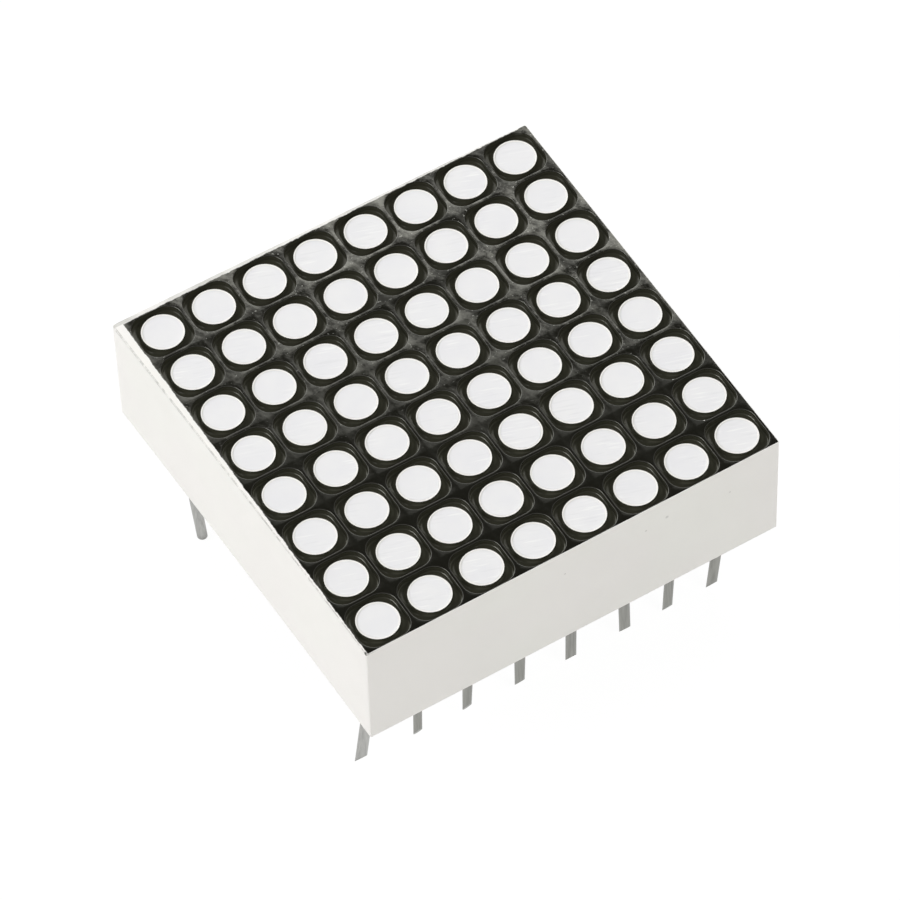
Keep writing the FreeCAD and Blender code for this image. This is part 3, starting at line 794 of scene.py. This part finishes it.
def coat_colour(tree, where, axes, smears, farther, in_moat):
    """Black, with dust smears and grit that are painted greyer towards the far webs as painted sheen,
    a painted lighter grey in the moats as painted light, a worn far corner, a nick and two painted glints.
    """
    dust_and_sheen_web = maths(tree, "MULTIPLY", below_face(tree, axes, WEB_DUST_AND_SHEEN * MOAT_LIP), farther)
    dust_and_sheen_film = maths(tree, "MULTIPLY", ramp(tree, smears, *SMEAR_EDGE), dust_and_sheen_web)
    worn = maths(tree, "MULTIPLY", spot(tree, where, *WORN_CORNER),
                 ramp(tree, noise(tree, where, *WEAR), *WEAR_EDGE))
    # The grit follows the same far-side ramp, so it too is partly painted sheen.
    grit = maths(tree, "MULTIPLY", ramp(tree, noise(tree, where, *GRAINS), *GRAINS_EDGE), dust_and_sheen_web)
    # Below the lip the black is lifted to the moats' painted light, and the grey smears and wear lie over
    # it.
    colour = mixed(tree, maths(tree, "MAXIMUM", dust_and_sheen_film, worn), mixed(tree, in_moat, BLACK, PAINTED_MOAT_LIGHT), DUST_WEAR_AND_SHEEN)
    colour = mixed(tree, maths(tree, "MULTIPLY", grit, GRIT_SHARE), colour, GRIT)
    for white_spot in NICKS_AND_GLINTS:
        colour = mixed(tree, maths(tree, "MULTIPLY", spot(tree, where, *white_spot), NICK_AND_GLINT_SHARE), colour, WHITE)
    return colour


def coat_shine(tree, axes, smears, farther, in_moat):
    """Specular level: low on near webs and on the moats' floors, set by the smears on far webs, and
    high on near lips and moat walls."""
    web_shine = ramp(tree, farther, 0, 1, NEAR_SHINE, ramp(tree, smears, *SMEAR_GLOSS_EDGE, *SMEAR_SHINES))
    moat_shine = ramp(tree, maths(tree, "MULTIPLY", in_moat, farther), 0, 1, *MOAT_SHINES)
    on_floor = below_face(tree, axes, MOAT_DEPTH - FLOOR_ZONE, MOAT_DEPTH)
    deep_shine = ramp(tree, on_floor, 0, 1, moat_shine, FLOOR_SHINE)
    return ramp(tree, below_face(tree, axes, WEB_GLOSS * MOAT_LIP), 0, 1, deep_shine, web_shine)


def black_shader(tree, where, shader):
    """Black coat: glossy, with a slight ripple, duller where dust has smeared, and greyer there, with
    painted sheen growing towards the far side.
    """
    axes = split(tree, where)
    farther = dust_and_sheen_reach(tree, axes)
    in_moat = below_face(tree, axes, MOAT_LIP, 2 * MOAT_LIP)
    smears = noise(tree, stretched(tree, where, SMEAR_LENGTHS, SMEAR_TURN), *SMEARS)
    tree.links.new(coat_colour(tree, where, axes, smears, farther, in_moat), shader.inputs["Base Color"])
    tree.links.new(ramp(tree, smears, *SMEAR_ROUGH_EDGE, *COAT_ROUGH), shader.inputs["Roughness"])
    tree.links.new(coat_shine(tree, axes, smears, farther, in_moat), shader.inputs["Specular IOR Level"])
    shader.inputs["Specular Tint"].default_value = (*GLOSS_TINT, 1)
    bump(tree, shader, noise(tree, where, *RIPPLE), RIPPLE_DEPTH)


# %% [markdown]
# Where the walls lean out past the coat, its edge is a line across one smooth surface. It is
# written as a distance to that line, made ragged by adding a noise.

# %% Where the coat ends
COAT_LEFT = 10.0
COAT_BACK = 9.985
COAT_FADE = 0.03
RAGGED = 0.03
RAGGED_EDGE = (2600, 4, 0.6)


def coat_share(tree, where):
    """1 where the coat is: on faces with the number, inside its ragged left and back edges. A drop
    of it has run over the front left corner."""
    axes = split(tree, where)
    ragged = ramp(tree, noise(tree, where, *RAGGED_EDGE), *WIDE, -RAGGED * MM, RAGGED * MM)
    from_left = maths(tree, "ADD", maths(tree, "ADD", axes["X"], ragged), COAT_LEFT * MM)
    from_back = maths(tree, "SUBTRACT", maths(tree, "SUBTRACT", COAT_BACK * MM, ragged), axes["Y"])
    inside = maths(tree, "MULTIPLY", ramp(tree, from_left, 0, COAT_FADE * MM),
                   ramp(tree, from_back, 0, COAT_FADE * MM))
    coated = add(tree, "ShaderNodeAttribute", attribute_name="coat").outputs["Fac"]
    return maths(tree, "MAXIMUM", maths(tree, "MULTIPLY", coated, inside), spot(tree, where, *DROP))


def housing_finish():
    """White plastic and black coat in one material, mixed by the coat's share."""
    material, tree, white = new_material("white_housing_black_face")
    where = place(tree)
    white_shader(tree, where, white)
    black = add(tree, "ShaderNodeBsdfPrincipled")
    black_shader(tree, where, black)
    blend = add(tree, "ShaderNodeMixShader", {0: coat_share(tree, where), 1: white.outputs[0],
                                              2: black.outputs[0]})
    out = tree.nodes["Material Output"]
    tree.links.new(blend.outputs[0], out.inputs["Surface"])
    return material


housing.data.materials.append(housing_finish())
print("housing finish made")

# %% [markdown]
# The resin is milky and a touch violet in the middle, where it is deep. Handling has left faint
# scratches that all run one way, more on some dots than on others. A noise stretched far along one
# direction gives such lines, and a slower noise says where they show.

# %% Resin finish
VIOLET_MILK = (0.785, 0.783, 0.80)
CLEAR_MILK = (0.815, 0.812, 0.816)
PALE_SCRATCH = (0.9, 0.9, 0.89)
DARK_SCRATCH = (0.72, 0.72, 0.73)
PALE_SHARE, DARK_SHARE = 0.7, 0.45
# Noises: features per metre, levels of detail, roughness. Each edge says where a noise starts to
# show and where it shows in full.
MILK_CLOUDS = (900, 3)
SCRATCHES = (3400, 2, 0.4)
SCRATCH_LENGTHS = (4.5, 0.4, 1.0)
SCRATCH_TURN = math.radians(-20)
PALE_EDGE = (0.6, 0.72)
DARK_EDGE = (0.42, 0.32)
SCRATCHED_DOTS = (420, 1)
SCRATCHED_EDGE = (0.42, 0.58)
SCRATCH_DEPTH = 0.003 * MM


def resin_finish():
    """Milk with soft clouds, pale and dark scratches in places, and their grooves."""
    material, tree, shader = new_material("milky_resin_dots")
    where = place(tree)
    milk = mixed(tree, ramp(tree, noise(tree, where, *MILK_CLOUDS), *WIDE), VIOLET_MILK, CLEAR_MILK)
    lines = noise(tree, stretched(tree, where, SCRATCH_LENGTHS, SCRATCH_TURN), *SCRATCHES)
    shown = ramp(tree, noise(tree, where, *SCRATCHED_DOTS), *SCRATCHED_EDGE)
    pale = maths(tree, "MULTIPLY", ramp(tree, lines, *PALE_EDGE), shown)
    dark = maths(tree, "MULTIPLY", ramp(tree, lines, *DARK_EDGE), shown)
    bright = mixed(tree, maths(tree, "MULTIPLY", pale, PALE_SHARE), milk, PALE_SCRATCH)
    colour = mixed(tree, maths(tree, "MULTIPLY", dark, DARK_SHARE), bright, DARK_SCRATCH)
    tree.links.new(colour, shader.inputs["Base Color"])
    shader.inputs["Roughness"].default_value = 0.45
    shader.inputs["Specular IOR Level"].default_value = 0.35
    bump(tree, shader, lines, SCRATCH_DEPTH)
    return material


resin.data.materials.append(resin_finish())
print("resin finish made")

# %% [markdown]
# The pins are wire with a dull tin skin. Drawing the wire through its die leaves marks along it,
# so the noise is stretched along Z. Solder is the same metal, brighter and smoother.

# %% Metal finishes
DIE_MARKS = (9000, 3, 0.6)
MARK_LENGTHS = (1.0, 1.0, 16.0)
MARK_SHADE = 0.66
MARK_DULLS = 0.12
MARK_DEPTH = 0.014 * MM


def wire_finish(name, colour, rough):
    """Metal with long marks: each mark is darker, smoother and lower than the skin beside it."""
    material, tree, shader = new_material(name)
    marks = noise(tree, stretched(tree, place(tree), MARK_LENGTHS), *DIE_MARKS)
    darker = tuple(c * MARK_SHADE for c in colour)
    tree.links.new(mixed(tree, ramp(tree, marks, *WIDE), darker, colour), shader.inputs["Base Color"])
    shader.inputs["Metallic"].default_value = 1.0
    tree.links.new(ramp(tree, marks, *WIDE, rough, rough + MARK_DULLS), shader.inputs["Roughness"])
    bump(tree, shader, marks, MARK_DEPTH)
    return material


TIN = wire_finish("dull_tin_wire", (0.36, 0.36, 0.335), 0.36)
LIT_TIN = wire_finish("lit_tin_wire", (0.5, 0.5, 0.48), 0.32)
SOLDER = wire_finish("bright_solder", (0.62, 0.62, 0.6), 0.22)
COPPER = wire_finish("copper_foil", (0.72, 0.42, 0.25), 0.3)
GOLD = wire_finish("gold_bond_wire", (0.83, 0.62, 0.28), 0.25)
# Pins 1 and 16, the leftmost, get a lighter copy of the tin: painted light on the pins at the lit side.
LIT_PINS = (1, 16)
for number, pin in pins.items():
    pin.data.materials.append(LIT_TIN if number in LIT_PINS else TIN)
for joint in joints.values():
    joint.data.materials.append(SOLDER)

# %% [markdown]
# The board is glass-fibre laminate under a green mask, and the dice are dark red crystal. Neither
# shows from above. The weave of the glass is two waves crossed, faint under the mask.

# %% Board and dice finishes
MASK_DARK, MASK_LIGHT = (0.035, 0.12, 0.05), (0.05, 0.16, 0.07)
MASK_GLOSS = (400,)
MASK_ROUGH = (0.28, 0.42)
WEAVE = {"Scale": 520.0, "Distortion": 0.6}
WEAVE_DEPTH = 0.01 * MM
DIE_DARK, DIE_RED = (0.3, 0.04, 0.03), (0.42, 0.07, 0.05)
DIE_GRAIN = (6000,)


def board_finish():
    """Green mask whose tone and height follow the product of two crossed waves."""
    material, tree, shader = new_material("green_mask_laminate")
    where = place(tree)
    warp = add(tree, "ShaderNodeTexWave", {"Vector": where, **WEAVE})
    weft = add(tree, "ShaderNodeTexWave", {"Vector": where, **WEAVE}, bands_direction="Y")
    weave = maths(tree, "MULTIPLY", warp.outputs["Fac"], weft.outputs["Fac"])
    tree.links.new(mixed(tree, weave, MASK_DARK, MASK_LIGHT), shader.inputs["Base Color"])
    gloss = ramp(tree, noise(tree, where, *MASK_GLOSS), *WIDE, *MASK_ROUGH)
    tree.links.new(gloss, shader.inputs["Roughness"])
    bump(tree, shader, weave, WEAVE_DEPTH)
    return material


def die_finish():
    """Polished red crystal with a fine grain."""
    material, tree, shader = new_material("red_crystal_die")
    grain = ramp(tree, noise(tree, place(tree), *DIE_GRAIN), *WIDE)
    tree.links.new(mixed(tree, grain, DIE_DARK, DIE_RED), shader.inputs["Base Color"])
    shader.inputs["Roughness"].default_value = 0.2
    return material


BY_SLOT = {"board_laminate": board_finish(), "die": die_finish(), "copper": COPPER, "gold_wire": GOLD}
kept = [part for part in frame["record"]["subparts"] if part["material_slot"] in BY_SLOT]
for part in kept:
    node = frame["nodes"][part["node"]]
    node.data.materials.clear()
    node.data.materials.append(BY_SLOT[part["material_slot"]])
print("nodes finished:", len(kept))

# %% [markdown]
# Everything rides on one body, because nothing on this part moves.

# %% Ride on the body
for piece in (housing, resin, *pins.values(), *joints.values()):
    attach(piece, "root")

# %% [markdown]
# The camera stands where the photographer's did, far off with a long lens, so that the sides of
# the case stay nearly parallel. It is placed by its position, the point it looks at on the face,
# and a small roll.

# %% Camera
CAMERA_AT = Vector((-88.615, -153.093, 250.623)) * MM
LOOKS_AT = Vector((-1.740, -2.981, 12.05)) * MM
ROLL = math.radians(1.865)
LENS = 283.37
SENSOR = 36.0
NEAREST, FARTHEST = 0.01, 10.0

forward = (LOOKS_AT - CAMERA_AT).normalized()
camera = bpy.data.objects.new("camera", bpy.data.cameras.new("camera"))
bpy.context.collection.objects.link(camera)
turn = Matrix.Rotation(ROLL, 4, forward) @ forward.to_track_quat("-Z", "Y").to_matrix().to_4x4()
camera.matrix_world = Matrix.Translation(CAMERA_AT) @ turn
camera.data.lens = LENS
camera.data.sensor_width = SENSOR
camera.data.sensor_fit = "HORIZONTAL"
camera.data.clip_start = NEAREST
camera.data.clip_end = FARTHEST
bpy.context.scene.camera = camera
print("camera right:", [round(c, 4) for c in camera.matrix_world.col[0][:3]])

# %% [markdown]
# The studio is plain: a pale floor, a white surround that is dark overhead, a soft key lamp at the
# left, a large panel behind for the coat to mirror, and two fills. The floor looks white to the
# camera and keeps a faint shadow. It could be bright in itself, but would then light the case from
# below, so only the rays that see it find it bright. The longest pins reach a hair below the
# model's foot, so the floor lies that much lower.

# %% Floor
FLOOR_HALF = 1500.0
FLOOR_LEVEL = -0.26
PALE = (0.8, 0.8, 0.79, 1)
SHADOW_SHARE = (0.08, 0.08, 0.08, 1)
GLOW = 0.96


def floor_finish():
    """Pale to the light that falls on the object. To the camera, to mirrors and to glass it is the
    sum of a glow just under white and a faint diffuse share that keeps the shadow."""
    material, tree, shader = new_material("pale_floor")
    tree.nodes.remove(shader)
    diffuse = add(tree, "ShaderNodeBsdfDiffuse", {"Color": PALE})
    faint = add(tree, "ShaderNodeBsdfDiffuse", {"Color": SHADOW_SHARE})
    glow = add(tree, "ShaderNodeEmission", {"Color": (1, 1, 1, 1), "Strength": GLOW})
    seen = add(tree, "ShaderNodeAddShader", {0: faint.outputs[0], 1: glow.outputs[0]})
    rays = add(tree, "ShaderNodeLightPath")
    direct = maths(tree, "MAXIMUM", rays.outputs["Is Camera Ray"],
                   maths(tree, "MAXIMUM", rays.outputs["Is Glossy Ray"],
                         rays.outputs["Is Transmission Ray"]))
    both = add(tree, "ShaderNodeMixShader", {0: direct, 1: diffuse.outputs[0], 2: seen.outputs[0]})
    tree.links.new(both.outputs[0], tree.nodes["Material Output"].inputs["Surface"])
    return material


corners = np.array([(-1, -1, 0), (1, -1, 0), (1, 1, 0), (-1, 1, 0)]) * FLOOR_HALF
corners[:, 2] = FLOOR_LEVEL
floor = bpy.data.objects.new("floor", bpy.data.meshes.new("floor"))
floor.data.from_pydata((corners * MM).tolist(), [], [(0, 1, 2, 3)])
floor.data.materials.append(floor_finish())
bpy.context.collection.objects.link(floor)
print("floor at", FLOOR_LEVEL, "mm")

# %% [markdown]
# The surround lights the walls from the side and leaves the space overhead dark, because the near
# webs of the face mirror that space and they are nearly black. It is stronger towards the left and
# back, and a touch warmer towards the right and front.

# %% Surround
HORIZON, ZENITH = 1.0, 0.14
# The height, as the Z of a direction, at which the horizon's light starts to fall and has fallen.
FALL_STARTS, FALL_ENDS = 0.5, 0.78
DIM_SIDE = 0.5
BRIGHT_SIDE = (-0.8, 0.6, 0.0)
SIDE_SPREAD = 0.8
COOL, WARM = (1.0, 1.0, 1.0), (1.0, 0.995, 0.955)


def surround():
    """White to the camera. Elsewhere: strength = height curve times side curve."""
    world = bpy.data.worlds.new("surround")
    world.use_nodes = True
    tree = world.node_tree
    where = add(tree, "ShaderNodeTexCoord").outputs["Generated"]
    height = ramp(tree, split(tree, where)["Z"], FALL_STARTS, FALL_ENDS, HORIZON, ZENITH)
    toward_left = add(tree, "ShaderNodeVectorMath", {0: where, 1: BRIGHT_SIDE}, operation="DOT_PRODUCT")
    side = ramp(tree, toward_left.outputs["Value"], -SIDE_SPREAD, SIDE_SPREAD)
    strength = maths(tree, "MULTIPLY", height, ramp(tree, side, 0, 1, DIM_SIDE, 1.0))
    rays = add(tree, "ShaderNodeLightPath")
    seen = add(tree, "ShaderNodeMix", {0: rays.outputs["Is Camera Ray"], 2: strength, 3: 1.0})
    tint = mixed(tree, maths(tree, "MAXIMUM", side, rays.outputs["Is Camera Ray"]), WARM, COOL)
    background = tree.nodes["Background"]
    tree.links.new(tint, background.inputs["Color"])
    tree.links.new(seen.outputs[0], background.inputs["Strength"])
    return world


bpy.context.scene.world = surround()
print("surround from", HORIZON, "to", ZENITH)

# %% [markdown]
# A lamp is placed by the direction it comes from, its distance and its brightness, and its power is
# worked out: a flat lamp of area A sends out power / (pi A) in each direction. The panel is there
# for the coat to mirror, and the two fills to brighten walls and dots. So the panel lights nothing
# but reflections, and the fills leave no glint.

# %% Lamps
AIM = Vector((0, 0, 12)) * MM


def soft_lamp(name, azimuth, elevation, distance, size, brightness):
    """A rectangular lamp that looks at the face. Azimuth turns from +Y towards +X, in degrees."""
    lamp = bpy.data.lights.new(name, "AREA")
    lamp.shape = "RECTANGLE"
    lamp.size, lamp.size_y = (side * MM for side in size)
    lamp.energy = brightness * math.pi * lamp.size * lamp.size_y
    turn, rise = math.radians(azimuth), math.radians(elevation)
    toward = Vector((math.sin(turn) * math.cos(rise), math.cos(turn) * math.cos(rise), math.sin(rise)))
    made = bpy.data.objects.new(name, lamp)
    made.location = AIM + toward * distance * MM
    made.rotation_euler = toward.to_track_quat("Z", "Y").to_euler()
    bpy.context.collection.objects.link(made)
    print(name, "power", round(lamp.energy, 3), "W")
    return made


soft_lamp("key_left", azimuth=-75, elevation=38, distance=350, size=(200, 200), brightness=3.42)
panel = soft_lamp("panel_behind", azimuth=17, elevation=33.5, distance=190, size=(240, 140), brightness=2.4)
panel.visible_diffuse = False
front = soft_lamp("fill_front", azimuth=165, elevation=45, distance=400, size=(130, 130), brightness=7.8)
front.visible_glossy = False
above = soft_lamp("fill_above", azimuth=17, elevation=62, distance=250, size=(160, 160), brightness=2.45)
above.visible_glossy = False
bpy.context.scene.view_settings.view_transform = "Standard"
